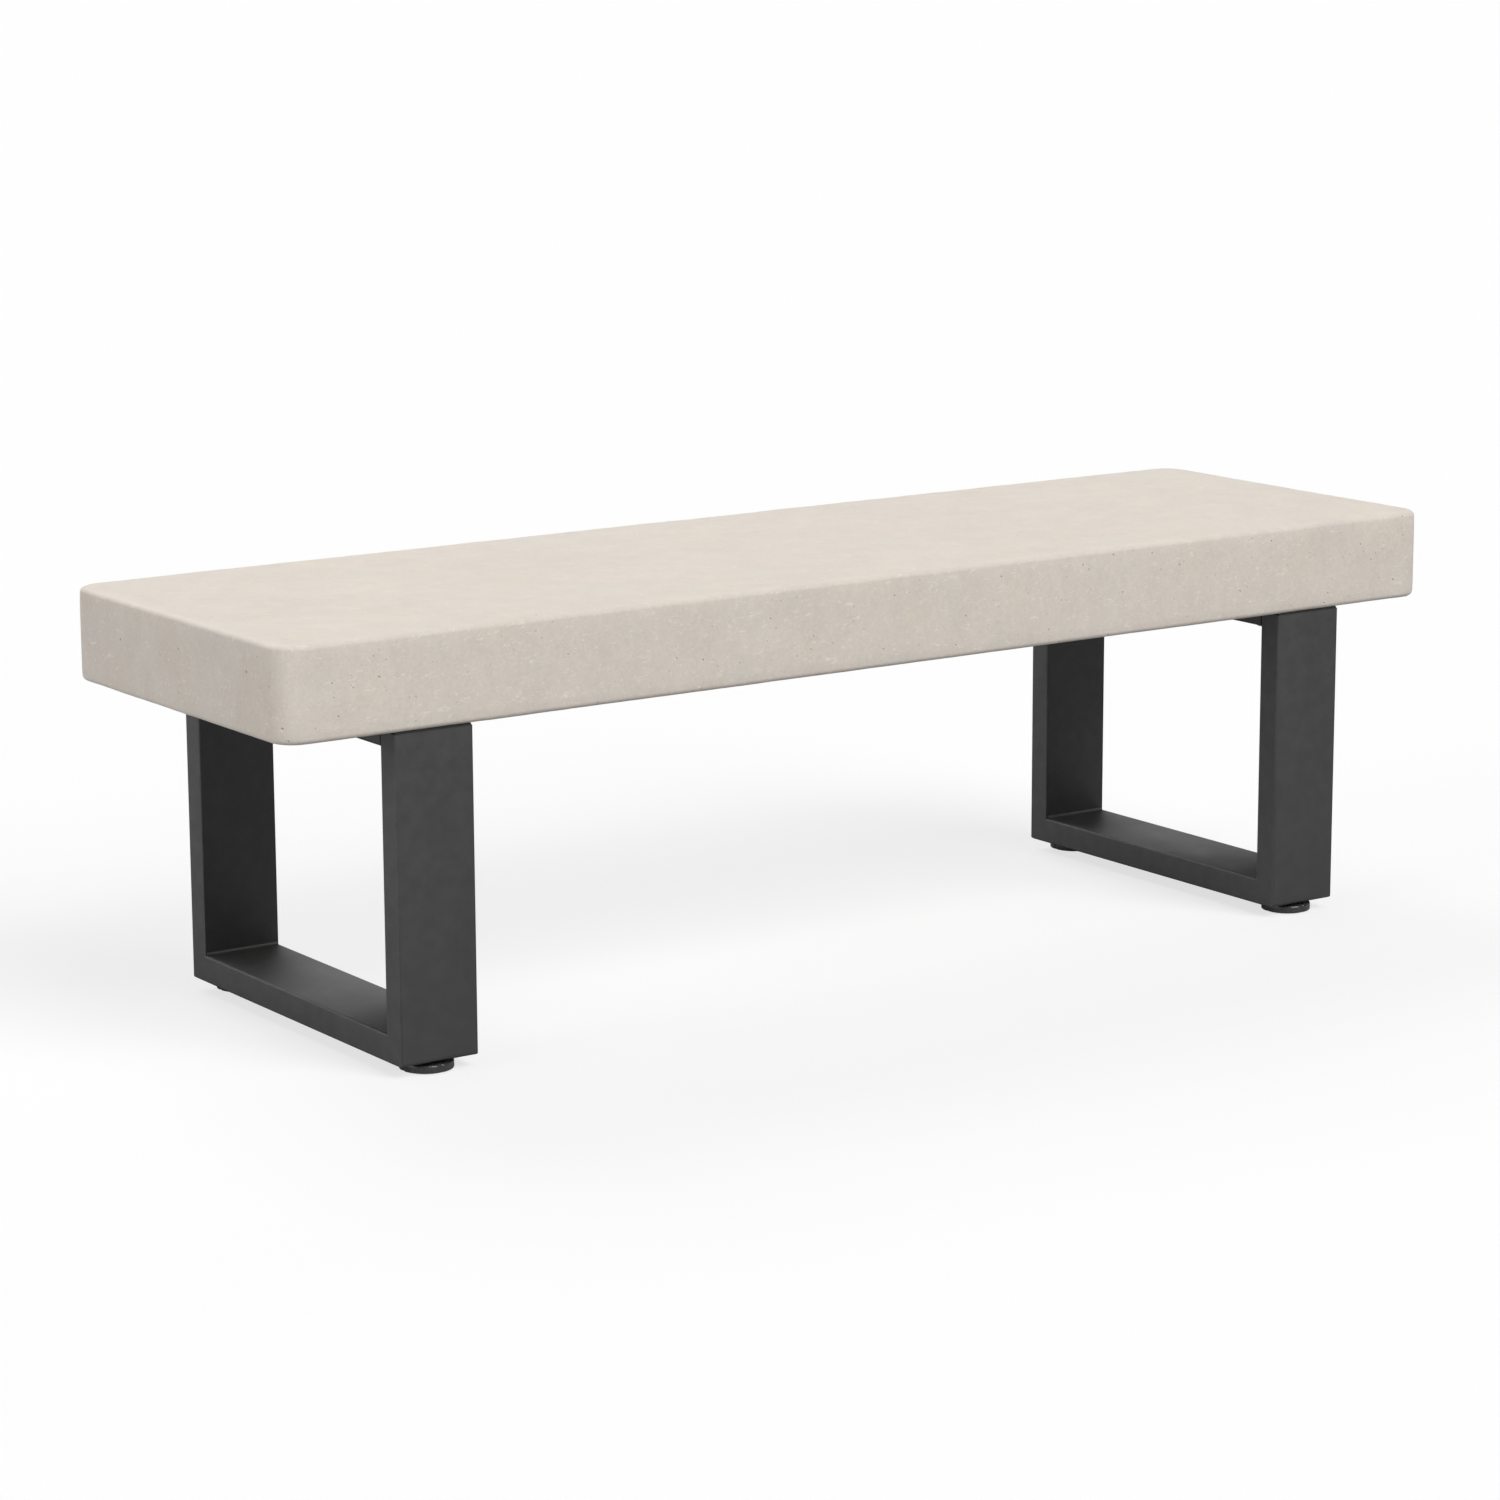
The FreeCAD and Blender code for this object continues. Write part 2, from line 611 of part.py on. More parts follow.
def make_disc(corner, x, y):
    body = new_body(corner + "_disc")
    sketch = new_sketch(body, "XZ_Plane")
    rim, socket = "dims.disc_diameter / 2", "dims.disc_socket / 2"
    recess_top = "dims.disc_low + dims.disc_recess_depth"
    add_outline(sketch, [
        ("dims.disc_recess / 2", "dims.disc_low"), (rim, "dims.disc_low"),
        (rim, "dims.disc_top - dims.disc_edge"), (f"{rim} - dims.disc_edge", "dims.disc_top"),
        ("0", "dims.disc_top"), ("0", "dims.disc_socket_top"), (socket, "dims.disc_socket_top"),
        (socket, recess_top), ("dims.disc_recess / 2", recess_top)])
    turn(body, sketch)
    head = new_sketch(body, "XY_Plane", "dims.stud_head_low")
    add_hexagon(head, "dims.stud_flats")
    pocket(body, head, "dims.stud_head_height", upward=True)
    shank = new_sketch(body, "XY_Plane", "dims.stud_head_low")
    add_circle(shank, "dims.stud_diameter")
    pocket(body, shank, "dims.disc_top - dims.stud_head_low", upward=True)
    notch = new_sketch(body, "XY_Plane", "dims.disc_low")
    add_rectangle(notch, "(2 * dims.notch_depth)", "dims.notch_width", x=rim)
    cut = pocket(body, notch, "dims.disc_top - dims.disc_low", upward=True)
    ring = body.newObject("PartDesign::PolarPattern", corner + "_notches")
    ring.Originals = [cut]
    ring.Axis = (origin_plane(body, "Z_Axis"), [""])
    ring.Angle = 360
    ring.setExpression("Occurrences", "dims.notch_count")
    body.Tip = ring
    doc.recompute()
    finish_part(body, x, y)


def make_sole(corner, x, y):
    body = new_body(corner + "_sole")
    sketch = new_sketch(body, "XZ_Plane")
    rim, pivot = "dims.sole_diameter / 2", "dims.pivot_diameter / 2"
    add_outline(sketch, [
        ("0", "0"), (f"{rim} - dims.sole_edge", "0"), (rim, "dims.sole_edge"),
        (rim, "dims.sole_thickness"), (pivot, "dims.sole_thickness"),
        (pivot, "dims.pivot_top"), ("0", "dims.pivot_top")])
    turn(body, sketch)
    finish_part(body, x, y)


bars = make_bars()
stirrups = make_stirrups()
make_seat(bars, stirrups)
for side, x in (("left", "-dims.leg_centre"), ("right", "dims.leg_centre")):
    make_sockets(side, x)
    make_gasket(side, x)
    make_plate(side, x)
    make_rail(side, x)
    make_welds(side, x)
    make_bolts(side, x)
    make_washers(side, x)
    for end, y in (("front", f"-{foot_place}"), ("back", foot_place)):
        make_upright(side, end, x)
        make_cap(side, end, x)
        corner = f"{end}_{side}"
        make_insert(corner, x, y)
        make_stud(corner, x, y)
        make_disc(corner, x, y)
        make_sole(corner, x, y)
doc.recompute()

faults = [item.Label for item in doc.Objects if {"Invalid", "Error"} & set(item.State)]
faults += [item.Label for item in parts if item.Shape.isNull() or not item.Shape.isValid()]
if faults:
    raise RuntimeError("failed objects: " + ", ".join(faults))

os.makedirs("parts", exist_ok=True)
for item in parts:
    item.Shape.exportStep(f"parts/{item.Label}.step")
    box = item.Shape.BoundBox
    print(f"{item.Label:24s} solids {len(item.Shape.Solids)}  volume {item.Shape.Volume / 1000:10.2f} cm3  "
          f"x {box.XMin:8.2f} {box.XMax:8.2f}  y {box.YMin:8.2f} {box.YMax:8.2f}  "
          f"z {box.ZMin:7.2f} {box.ZMax:7.2f}")
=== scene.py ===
import math

import bmesh
import bpy
from mathutils import Matrix, Vector, noise


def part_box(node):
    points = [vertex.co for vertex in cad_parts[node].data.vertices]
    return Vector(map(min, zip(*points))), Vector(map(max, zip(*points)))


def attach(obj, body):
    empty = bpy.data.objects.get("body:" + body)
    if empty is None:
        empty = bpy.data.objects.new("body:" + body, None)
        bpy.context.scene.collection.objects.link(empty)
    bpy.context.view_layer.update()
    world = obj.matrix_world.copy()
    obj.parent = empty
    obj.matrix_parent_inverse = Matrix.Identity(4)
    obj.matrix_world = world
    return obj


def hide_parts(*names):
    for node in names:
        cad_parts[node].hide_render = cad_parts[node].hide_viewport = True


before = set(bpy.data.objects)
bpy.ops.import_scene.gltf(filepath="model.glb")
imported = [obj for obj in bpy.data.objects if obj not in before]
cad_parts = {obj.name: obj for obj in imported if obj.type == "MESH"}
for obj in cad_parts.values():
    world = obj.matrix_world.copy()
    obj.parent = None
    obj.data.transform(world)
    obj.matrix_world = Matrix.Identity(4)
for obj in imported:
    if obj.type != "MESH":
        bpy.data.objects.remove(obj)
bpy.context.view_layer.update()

# A backless street bench: a cast concrete seat on two powder-coated steel loops
# with screwed feet. Everything is in metres; the floor is at z = 0.

scene = bpy.context.scene
benchBody = "bench"
legSides = ("left", "right")
footCorners = ("front_left", "back_left", "front_right", "back_right")


# small helpers

def camel(words):
    first, *rest = words.split("_")
    return first + "".join(word.capitalize() for word in rest)


def addObject(name, mesh):
    item = bpy.data.objects.new(name, mesh)
    scene.collection.objects.link(item)
    return item


def meshFromBmesh(name, shape):
    bmesh.ops.recalc_face_normals(shape, faces=shape.faces[:])
    mesh = bpy.data.meshes.new(name)
    shape.to_mesh(mesh)
    shape.free()
    return mesh


def smoothByAngle(mesh, degrees):
    mesh.shade_smooth()
    mesh.set_sharp_from_angle(angle=math.radians(degrees))


def bridgeRings(shape, rings):
    # quads between neighbouring closed rings of equal length
    rows = [[shape.verts.new(point) for point in ring] for ring in rings]
    for low, high in zip(rows, rows[1:]):
        count = len(low)
        for i in range(count):
            j = (i + 1) % count
            shape.faces.new((low[i], low[j], high[j], high[i]))
    return rows


def dress(item, body, slot, material, *replaced):
    # material, body and the CAD nodes the piece stands for; the slot argument is not used
    item.data.materials.clear()
    item.data.materials.append(material)
    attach(item, body)
    if replaced:
        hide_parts(*replaced)
    return item


def refine(node, material, slot, body=benchBody, angle=32):
    # the CAD piece with its triangles welded together and its roundings shaded smooth
    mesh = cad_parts[node].data.copy()
    shape = bmesh.new()
    shape.from_mesh(mesh)
    bmesh.ops.remove_doubles(shape, verts=shape.verts[:], dist=2e-6)
    bmesh.ops.dissolve_limit(shape, angle_limit=math.radians(0.4), verts=shape.verts[:],
                             edges=shape.edges[:], delimit={"NORMAL"})
    bmesh.ops.triangulate(shape, faces=shape.faces[:])
    mesh = meshFromBmesh(camel(node), shape)
    smoothByAngle(mesh, angle)
    return dress(addObject(camel(node), mesh), body, slot, material, node)


# node tree helpers

def setInput(tree, node, key, value):
    socket = node.inputs[key]
    if isinstance(value, bpy.types.NodeSocket):
        tree.links.new(value, socket)
    else:
        socket.default_value = value


def addNode(tree, kind, settings=None, **inputs):
    # settings are the node's own properties; inputs are values or sockets, by name
    node = tree.nodes.new(kind)
    for key, value in (settings or {}).items():
        setattr(node, key, value)
    for key, value in inputs.items():
        setInput(tree, node, int(key[1:]) if key[0] == "i" and key[1:].isdigit() else key, value)
    return node


def calc(tree, operation, a, b=0.0, c=0.0):
    return addNode(tree, "ShaderNodeMath", {"operation": operation}, i0=a, i1=b, i2=c).outputs[0]


def addSocket(tree, name, side, kind, value=None):
    socket = tree.interface.new_socket(name=name, in_out=side, socket_type=kind)
    if value is not None:
        socket.default_value = value
    return socket


def newShaderGroup(name, inputs, outputs):
    tree = bpy.data.node_groups.new(name, "ShaderNodeTree")
    for key, value in inputs.items():
        kind = "NodeSocketVector" if isinstance(value, tuple) else "NodeSocketFloat"
        addSocket(tree, key, "INPUT", kind, value)
    for key in outputs:
        addSocket(tree, key, "OUTPUT", "NodeSocketFloat")
    return tree, tree.nodes.new("NodeGroupInput"), tree.nodes.new("NodeGroupOutput")


def useGroup(tree, group, **inputs):
    node = tree.nodes.new("ShaderNodeGroup")
    node.node_tree = group
    for key, value in inputs.items():
        setInput(tree, node, key, value)
    return node


def newMaterial(name, **plain):
    # an empty material with a Principled shader; plain values go on its own sockets
    material = bpy.data.materials.new(name)
    material.use_nodes = True
    tree = material.node_tree
    shader = next(node for node in tree.nodes if node.type == "BSDF_PRINCIPLED")
    for key, value in plain.items():
        shader.inputs[key.replace("_", " ")].default_value = value
    where = addNode(tree, "ShaderNodeTexCoord").outputs["Object"]
    return material, tree, shader, where


def mixColors(tree, factor, a, b, blend="MIX"):
    node = addNode(tree, "ShaderNodeMix", {"data_type": "RGBA", "blend_type": blend})
    setInput(tree, node, 0, factor)
    setInput(tree, node, 6, a)
    setInput(tree, node, 7, b)
    return node.outputs[2]


def ramp(tree, value, low, high, start=0.0, end=1.0):
    node = addNode(tree, "ShaderNodeMapRange", {"clamp": True})
    for key, number in zip(range(5), (value, low, high, start, end)):
        setInput(tree, node, key, number)
    return node.outputs[0]


def noiseAt(tree, where, scale, detail=3.0, roughness=0.55, distortion=0.0):
    node = addNode(tree, "ShaderNodeTexNoise", None, Vector=where, Scale=scale, Detail=detail,
                   Roughness=roughness, Distortion=distortion)
    return node.outputs[0]


def bumpFrom(tree, height, strength, distance):
    return addNode(tree, "ShaderNodeBump", None, Height=height, Strength=strength,
                   Distance=distance).outputs[0]


# shared effects

def makeCloudGroup():
    # slow and quick drifts of tone, centred on 0
    tree, given, out = newShaderGroup(
        "clouds", {"Where": (0, 0, 0), "Size": 5.0, "Fineness": 28.0, "Drift": 0.04, "Mottle": 0.03},
        ["Tone"])
    slow = noiseAt(tree, given.outputs["Where"], given.outputs["Size"], 4, 0.6)
    quick = noiseAt(tree, given.outputs["Where"], given.outputs["Fineness"], 6, 0.62)
    slow = calc(tree, "MULTIPLY", calc(tree, "SUBTRACT", slow, 0.5), given.outputs["Drift"])
    quick = calc(tree, "MULTIPLY", calc(tree, "SUBTRACT", quick, 0.5), given.outputs["Mottle"])
    tree.links.new(calc(tree, "ADD", slow, quick), out.inputs["Tone"])
    return tree


def makeSpeckGroup():
    # round specks in some of the cells of a scattered pattern: 1 in a speck, 0 outside
    tree, given, out = newShaderGroup(
        "specks", {"Where": (0, 0, 0), "Cells": 110.0, "Share": 0.12, "Size": 0.12}, ["Speck"])
    cells = addNode(tree, "ShaderNodeTexVoronoi", None, Vector=given.outputs["Where"],
                    Scale=given.outputs["Cells"])
    lottery = addNode(tree, "ShaderNodeSeparateColor", None, Color=cells.outputs["Color"])
    chosen = calc(tree, "LESS_THAN", lottery.outputs[0], given.outputs["Share"])
    reach = calc(tree, "MULTIPLY", given.outputs["Size"],
                 calc(tree, "ADD", 0.45, calc(tree, "MULTIPLY", lottery.outputs[1], 0.55)))
    inside = ramp(tree, cells.outputs["Distance"], calc(tree, "MULTIPLY", reach, 0.6), reach, 1.0, 0.0)
    tree.links.new(calc(tree, "MULTIPLY", inside, chosen), out.inputs["Speck"])
    return tree


def makeWearGroup():
    # edge wear: high on outward edges, broken up by a noise
    tree, given, out = newShaderGroup(
        "edgeWear", {"Where": (0, 0, 0), "Start": 0.52, "Spread": 0.08, "Breakup": 60.0}, ["Wear"])
    sharp = addNode(tree, "ShaderNodeNewGeometry").outputs["Pointiness"]
    edge = ramp(tree, sharp, given.outputs["Start"],
                calc(tree, "ADD", given.outputs["Start"], given.outputs["Spread"]))
    patch = noiseAt(tree, given.outputs["Where"], given.outputs["Breakup"], 4)
    tree.links.new(calc(tree, "MULTIPLY", edge, ramp(tree, patch, 0.35, 0.7)), out.inputs["Wear"])
    return tree


def makeDustAndTopLightGroup():
    # fine dust on what faces up, together with painted light that makes the up-facing faces lighter
    tree, given, out = newShaderGroup(
        "dust", {"Where": (0, 0, 0), "Amount": 0.2, "Fineness": 35.0}, ["Dust"])
    normal = addNode(tree, "ShaderNodeNewGeometry").outputs["Normal"]
    up = addNode(tree, "ShaderNodeSeparateXYZ", None, Vector=normal).outputs[2]
    patch = ramp(tree, noiseAt(tree, given.outputs["Where"], given.outputs["Fineness"], 5), 0.3, 0.75)
    dusty = calc(tree, "MULTIPLY", ramp(tree, up, 0.5, 0.95), patch)
    tree.links.new(calc(tree, "MULTIPLY", dusty, given.outputs["Amount"]), out.inputs["Dust"])
    return tree


clouds = makeCloudGroup()
specks = makeSpeckGroup()
edgeWear = makeWearGroup()
dust = makeDustAndTopLightGroup()


# materials

def greyLevel(tree, level):
    return addNode(tree, "ShaderNodeCombineColor", None, Red=level, Green=level, Blue=level).outputs[0]


def shaded(tree, color, tone):
    # the color made lighter or darker by a tone that is centred on 0
    return mixColors(tree, 1.0, color, greyLevel(tree, calc(tree, "ADD", 1.0, tone)), "MULTIPLY")


def scaled(tree, value, factor):
    return calc(tree, "MULTIPLY", value, factor)


def centred(tree, value):
    return calc(tree, "SUBTRACT", value, 0.5)


def stretchedPlace(tree, where, scale, turn=(0.0, 0.0, 0.0)):
    return addNode(tree, "ShaderNodeMapping", None, Vector=where, Scale=scale, Rotation=turn).outputs[0]


concreteLook = {
    "color": (0.590, 0.537, 0.484, 1),
    "rosy": (1.008, 0.998, 0.976, 1),
    "cool": (0.990, 1.004, 1.004, 1),
    "darkSpeck": (0.235, 0.205, 0.175, 1),
    "lightChip": (0.77, 0.73, 0.67, 1),
    "clouds": {"Size": 7.0, "Fineness": 24.0, "Drift": 0.10, "Mottle": 0.15},
    "chips": {"Cells": 62.0, "Share": 0.42, "Size": 0.17},
    "darkGrains": {"Cells": 62.0, "Share": 0.42, "Size": 0.105},
    "fineGrains": {"Cells": 150.0, "Share": 0.12, "Size": 0.20},
    "hueScale": 13.0,
    "patchScale": 75.0,
    "grainScale": 240.0,
    "sandScale": 520.0,
    "runScale": 60.0,
    "runStretch": (1, 1, 0.35),      # faint upright streaks
    "curlScale": 150.0,
    "curlStretch": (0.6, 0.6, 1.4),
    "curlTurn": (0.3, 0.5, 0.2),
    "patchStrength": 0.10,
    "grainStrength": 0.22,
    "sandStrength": 0.20,
    "runStrength": 0.09,
    "chipStrength": 0.34,
    "curlStrength": 0.50,
    "fineStrength": 0.42,
    "darkStrength": 0.70,
    "topQuiet": 0.42,                # the marks' strength on the upper face
    "roughness": 0.72,
    "roughSand": 0.12,
    "bump": 0.55,
    "grainDepth": 0.00022,
}


def makeConcrete(look):
    # a cast face: cloudy tone, fine grain, pale chips, dark grains and faint curled marks;
    # the upper face is the quieter one
    material, tree, shader, where = newMaterial("castConcrete")
    normal = addNode(tree, "ShaderNodeNewGeometry").outputs["Normal"]
    up = addNode(tree, "ShaderNodeSeparateXYZ", None, Vector=normal).outputs[2]
    busy = ramp(tree, up, 0.3, 0.95, 1.0, look["topQuiet"])
    tone = useGroup(tree, clouds, Where=where, **look["clouds"]).outputs[0]
    patches = centred(tree, noiseAt(tree, where, look["patchScale"], 5, 0.6))
    grain = centred(tree, noiseAt(tree, where, look["grainScale"], 4, 0.65))
    sand = noiseAt(tree, where, look["sandScale"], 3, 0.7)
    runPlace = stretchedPlace(tree, where, look["runStretch"])
    runs = centred(tree, noiseAt(tree, runPlace, look["runScale"], 3, 0.6))
    curlPlace = stretchedPlace(tree, where, look["curlStretch"], look["curlTurn"])
    curls = ramp(tree, noiseAt(tree, curlPlace, look["curlScale"], 3, 0.6, 1.6), 0.59, 0.70)
    light = useGroup(tree, specks, Where=where, **look["chips"]).outputs[0]
    dark = useGroup(tree, specks, Where=where, **look["darkGrains"]).outputs[0]
    fineDark = useGroup(tree, specks, Where=where, **look["fineGrains"]).outputs[0]
    small = calc(tree, "ADD", scaled(tree, grain, look["grainStrength"]),
                 scaled(tree, centred(tree, sand), look["sandStrength"]))
    small = calc(tree, "ADD", small, scaled(tree, runs, look["runStrength"]))
    drift = calc(tree, "ADD", tone, scaled(tree, patches, look["patchStrength"]))
    drift = calc(tree, "ADD", drift, calc(tree, "MULTIPLY", small, busy))
    color = shaded(tree, look["color"], drift)
    warmth = ramp(tree, noiseAt(tree, where, look["hueScale"], 4, 0.6), 0.36, 0.64)
    color = mixColors(tree, 1.0, color, mixColors(tree, warmth, look["rosy"], look["cool"]), "MULTIPLY")
    marks = ((light, "chipStrength", "lightChip"), (curls, "curlStrength", "lightChip"),
             (fineDark, "fineStrength", "darkSpeck"), (dark, "darkStrength", "darkSpeck"))
    for mark, strength, paint in marks:
        share = calc(tree, "MULTIPLY", scaled(tree, mark, look[strength]), busy)
        color = mixColors(tree, share, color, look[paint])
    setInput(tree, shader, "Base Color", color)
    rough = calc(tree, "ADD", look["roughness"], scaled(tree, sand, look["roughSand"]))
    setInput(tree, shader, "Roughness", rough)
    height = calc(tree, "ADD", scaled(tree, sand, 0.35), scaled(tree, patches, 0.6))
    height = calc(tree, "SUBTRACT", height, scaled(tree, dark, 0.9))
    height = calc(tree, "SUBTRACT", height, scaled(tree, fineDark, 0.3))
    setInput(tree, shader, "Normal", bumpFrom(tree, height, look["bump"], look["grainDepth"]))
    return material


coatLook = {
    "color": (0.033, 0.033, 0.0333, 1),
    "worn": (0.085, 0.085, 0.085, 1),
    "dusty": (0.15, 0.147, 0.142, 1),
    "drawn": (1, 1, 0.12),           # the tone runs in upright streaks
    "clouds": {"Size": 14.0, "Fineness": 90.0, "Drift": 0.10, "Mottle": 0.06},
    "wear": {"Start": 0.53, "Spread": 0.12, "Breakup": 70.0},
    "wearStrength": 0.35,
    # dust and painted light: lightens the coat's up-facing faces
    "dust": {"Amount": 0.17, "Fineness": 18.0},
    "gloss": 0.70,
    "roughness": 0.50,
    "peelScale": 1100.0,
    "peelDepth": 0.00006,
}


def makeCoat(look):
    material, tree, shader, where = newMaterial("powderCoat", Specular_IOR_Level=look["gloss"])
    drawn = stretchedPlace(tree, where, look["drawn"])
    tone = useGroup(tree, clouds, Where=drawn, **look["clouds"]).outputs[0]
    wear = useGroup(tree, edgeWear, Where=where, **look["wear"]).outputs[0]
    topDustAndLight = useGroup(tree, dust, Where=where, **look["dust"]).outputs[0]
    peel = noiseAt(tree, where, look["peelScale"], 2, 0.5)
    color = shaded(tree, look["color"], tone)
    color = mixColors(tree, scaled(tree, wear, look["wearStrength"]), color, look["worn"])
    # dust and painted light: up-facing faces mixed towards a lighter colour
    color = mixColors(tree, topDustAndLight, color, look["dusty"])
    setInput(tree, shader, "Base Color", color)
    rough = calc(tree, "ADD", look["roughness"], scaled(tree, tone, 0.5))
    setInput(tree, shader, "Roughness", calc(tree, "ADD", rough, scaled(tree, topDustAndLight, 0.6)))
    setInput(tree, shader, "Normal", bumpFrom(tree, peel, 0.35, look["peelDepth"]))
    return material


metalLooks = {
    "zincPlate": {"color": (0.62, 0.63, 0.64, 1), "dull": (0.42, 0.43, 0.43, 1),
                  "roughness": 0.28, "scratches": 0.3},
    "studSteel": {"color": (0.55, 0.55, 0.56, 1), "dull": (0.36, 0.36, 0.36, 1),
                  "roughness": 0.3, "scratches": 0.35},
}
metalClouds = {"Size": 40.0, "Fineness": 220.0, "Drift": 0.25, "Mottle": 0.2}
metalWear = {"Start": 0.53, "Spread": 0.1, "Breakup": 300.0}
brightEdge = (0.78, 0.78, 0.77, 1)
brushStretch = (1, 1, 9)
brushScale = 500.0


def makeMetal(name):
    # plated steel: brushed grain, dull patches and bright edges
    look = metalLooks[name]
    material, tree, shader, where = newMaterial(name, Metallic=1.0)
    tone = useGroup(tree, clouds, Where=where, **metalClouds).outputs[0]
    wear = useGroup(tree, edgeWear, Where=where, **metalWear).outputs[0]
    grain = noiseAt(tree, stretchedPlace(tree, where, brushStretch), brushScale, 3, 0.6)
    patch = ramp(tree, calc(tree, "ADD", 0.5, tone), 0.35, 0.65)
    base = mixColors(tree, patch, look["color"], look["dull"])
    setInput(tree, shader, "Base Color", mixColors(tree, scaled(tree, wear, 0.5), base, brightEdge))
    rough = calc(tree, "ADD", look["roughness"], scaled(tree, patch, 0.18))
    setInput(tree, shader, "Roughness", calc(tree, "ADD", rough, scaled(tree, grain, 0.08)))
    setInput(tree, shader, "Normal", bumpFrom(tree, grain, look["scratches"], 0.00004))
    return material


rebarLook = {
    "millScale": (0.16, 0.15, 0.145, 1),
    "rust": (0.30, 0.13, 0.06, 1),
    "pits": (0.09, 0.05, 0.035, 1),
    "rustScale": 90.0,
    "gritScale": 900.0,
}


def makeRebarSteel(look):
    material, tree, shader, where = newMaterial("rebarSteel", Metallic=0.3)
    patch = ramp(tree, noiseAt(tree, where, look["rustScale"], 6, 0.65), 0.4, 0.62)
    grit = noiseAt(tree, where, look["gritScale"], 3, 0.6)
    color = mixColors(tree, patch, look["millScale"], look["rust"])
    color = mixColors(tree, scaled(tree, grit, 0.35), color, look["pits"])
    setInput(tree, shader, "Base Color", color)
    setInput(tree, shader, "Roughness", calc(tree, "ADD", 0.5, scaled(tree, patch, 0.4)))
    setInput(tree, shader, "Normal", bumpFrom(tree, calc(tree, "ADD", grit, patch), 0.6, 0.0002))
    return material


rubberLooks = {
    "gasketRubber": {"color": (0.028, 0.028, 0.029, 1), "roughness": 0.72, "grainScale": 700.0},
    "soleRubber": {"color": (0.02, 0.02, 0.02, 1), "roughness": 0.65, "grainScale": 900.0},
}
rubberClouds = {"Size": 30.0, "Fineness": 200.0, "Drift": 0.3, "Mottle": 0.25}
rubberDust = (0.16, 0.15, 0.14, 1)


def makeRubber(name):
    look = rubberLooks[name]
    material, tree, shader, where = newMaterial(name)
    tone = useGroup(tree, clouds, Where=where, **rubberClouds).outputs[0]
    topDustAndLight = useGroup(tree, dust, Where=where, Amount=0.35, Fineness=120.0).outputs[0]
    grain = noiseAt(tree, where, look["grainScale"], 3, 0.6)
    color = shaded(tree, look["color"], tone)
    setInput(tree, shader, "Base Color", mixColors(tree, topDustAndLight, color, rubberDust))
    setInput(tree, shader, "Roughness", calc(tree, "ADD", look["roughness"], scaled(tree, tone, 0.4)))
    setInput(tree, shader, "Normal", bumpFrom(tree, grain, 0.4, 0.00008))
    return material


enamelLook = {
    "color": (0.036, 0.036, 0.037, 1),
    "worn": (0.16, 0.16, 0.16, 1),
    "clouds": {"Size": 60.0, "Fineness": 400.0, "Drift": 0.3, "Mottle": 0.2},
    "wear": {"Start": 0.53, "Spread": 0.1, "Breakup": 240.0},
    "roughness": 0.26,
    "scuffScale": 260.0,
    "scuffRoughness": 0.22,
    "coatWeight": 0.5,
    "coatRoughness": 0.16,
}


def makeEnamel(look):
    material, tree, shader, where = newMaterial("footEnamel", Coat_Weight=look["coatWeight"],
                                                Coat_Roughness=look["coatRoughness"])
    tone = useGroup(tree, clouds, Where=where, **look["clouds"]).outputs[0]
    wear = useGroup(tree, edgeWear, Where=where, **look["wear"]).outputs[0]
    scuff = ramp(tree, noiseAt(tree, where, look["scuffScale"], 5, 0.65), 0.55, 0.72)
    color = mixColors(tree, scaled(tree, wear, 0.5), shaded(tree, look["color"], tone), look["worn"])
    setInput(tree, shader, "Base Color", color)
    rough = calc(tree, "ADD", look["roughness"], scaled(tree, scuff, look["scuffRoughness"]))
    setInput(tree, shader, "Roughness", rough)
    setInput(tree, shader, "Normal", bumpFrom(tree, scuff, 0.25, 0.00005))
    return material


concrete = makeConcrete(concreteLook)
coat = makeCoat(coatLook)
zinc = makeMetal("zincPlate")
studSteel = makeMetal("studSteel")
rebarSteel = makeRebarSteel(rebarLook)
gasketRubber = makeRubber("gasketRubber")
soleRubber = makeRubber("soleRubber")
enamel = makeEnamel(enamelLook)
print("materials made")


# the concrete seat

seat = {
    "cornerRadius": 0.029,
    "topRounding": 0.006,
    "lowRounding": 0.006,
    "alongLength": 170,      # steps of the mesh along each long side
    "alongDepth": 50,
    "aroundCorner": 14,
    "underSteps": 12,
    "lowArcSteps": 4,
    "sideSteps": 9,
    "topArcSteps": 7,
    "topSteps": 24,
    "arrisWave": 0.0015,     # how far the cast arris wanders inwards
    "faceWave": 0.00022,
    "holeDensity": 260.0,    # air holes per square metre of upright face
    "topHoleShare": 0.08,
    "holeSize": (0.0006, 0.0015),
    "seed": 7,
}

seatLow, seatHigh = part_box("seat_slab")


def roundedOutline(low, high, radius, inset, counts):
    # one closed ring of (u, v) points round a rounded rectangle, moved inwards by inset
    alongU, alongV, around = counts
    bend = max(radius - inset, 0.0)
    left, right = low[0] + inset + bend, high[0] - inset - bend
    front, back = low[1] + inset + bend, high[1] - inset - bend
    corners = (((right, front), -90, alongV), ((right, back), 0, alongU),
               ((left, back), 90, alongV), ((left, front), 180, alongU))
    points = []
    for (cu, cv), start, steps in corners:
        for i in range(around + 1):
            angle = math.radians(start + 90 * i / around)
            points.append((cu + bend * math.cos(angle), cv + bend * math.sin(angle)))
        (nu, nv), nextDegrees, _ = corners[(corners.index(((cu, cv), start, steps)) + 1) % 4]
        nextStart = math.radians(nextDegrees)
        here = points[-1]
        there = (nu + bend * math.cos(nextStart), nv + bend * math.sin(nextStart))
        for i in range(1, steps):
            share = i / steps
            points.append((here[0] + (there[0] - here[0]) * share,
                           here[1] + (there[1] - here[1]) * share))
    return points


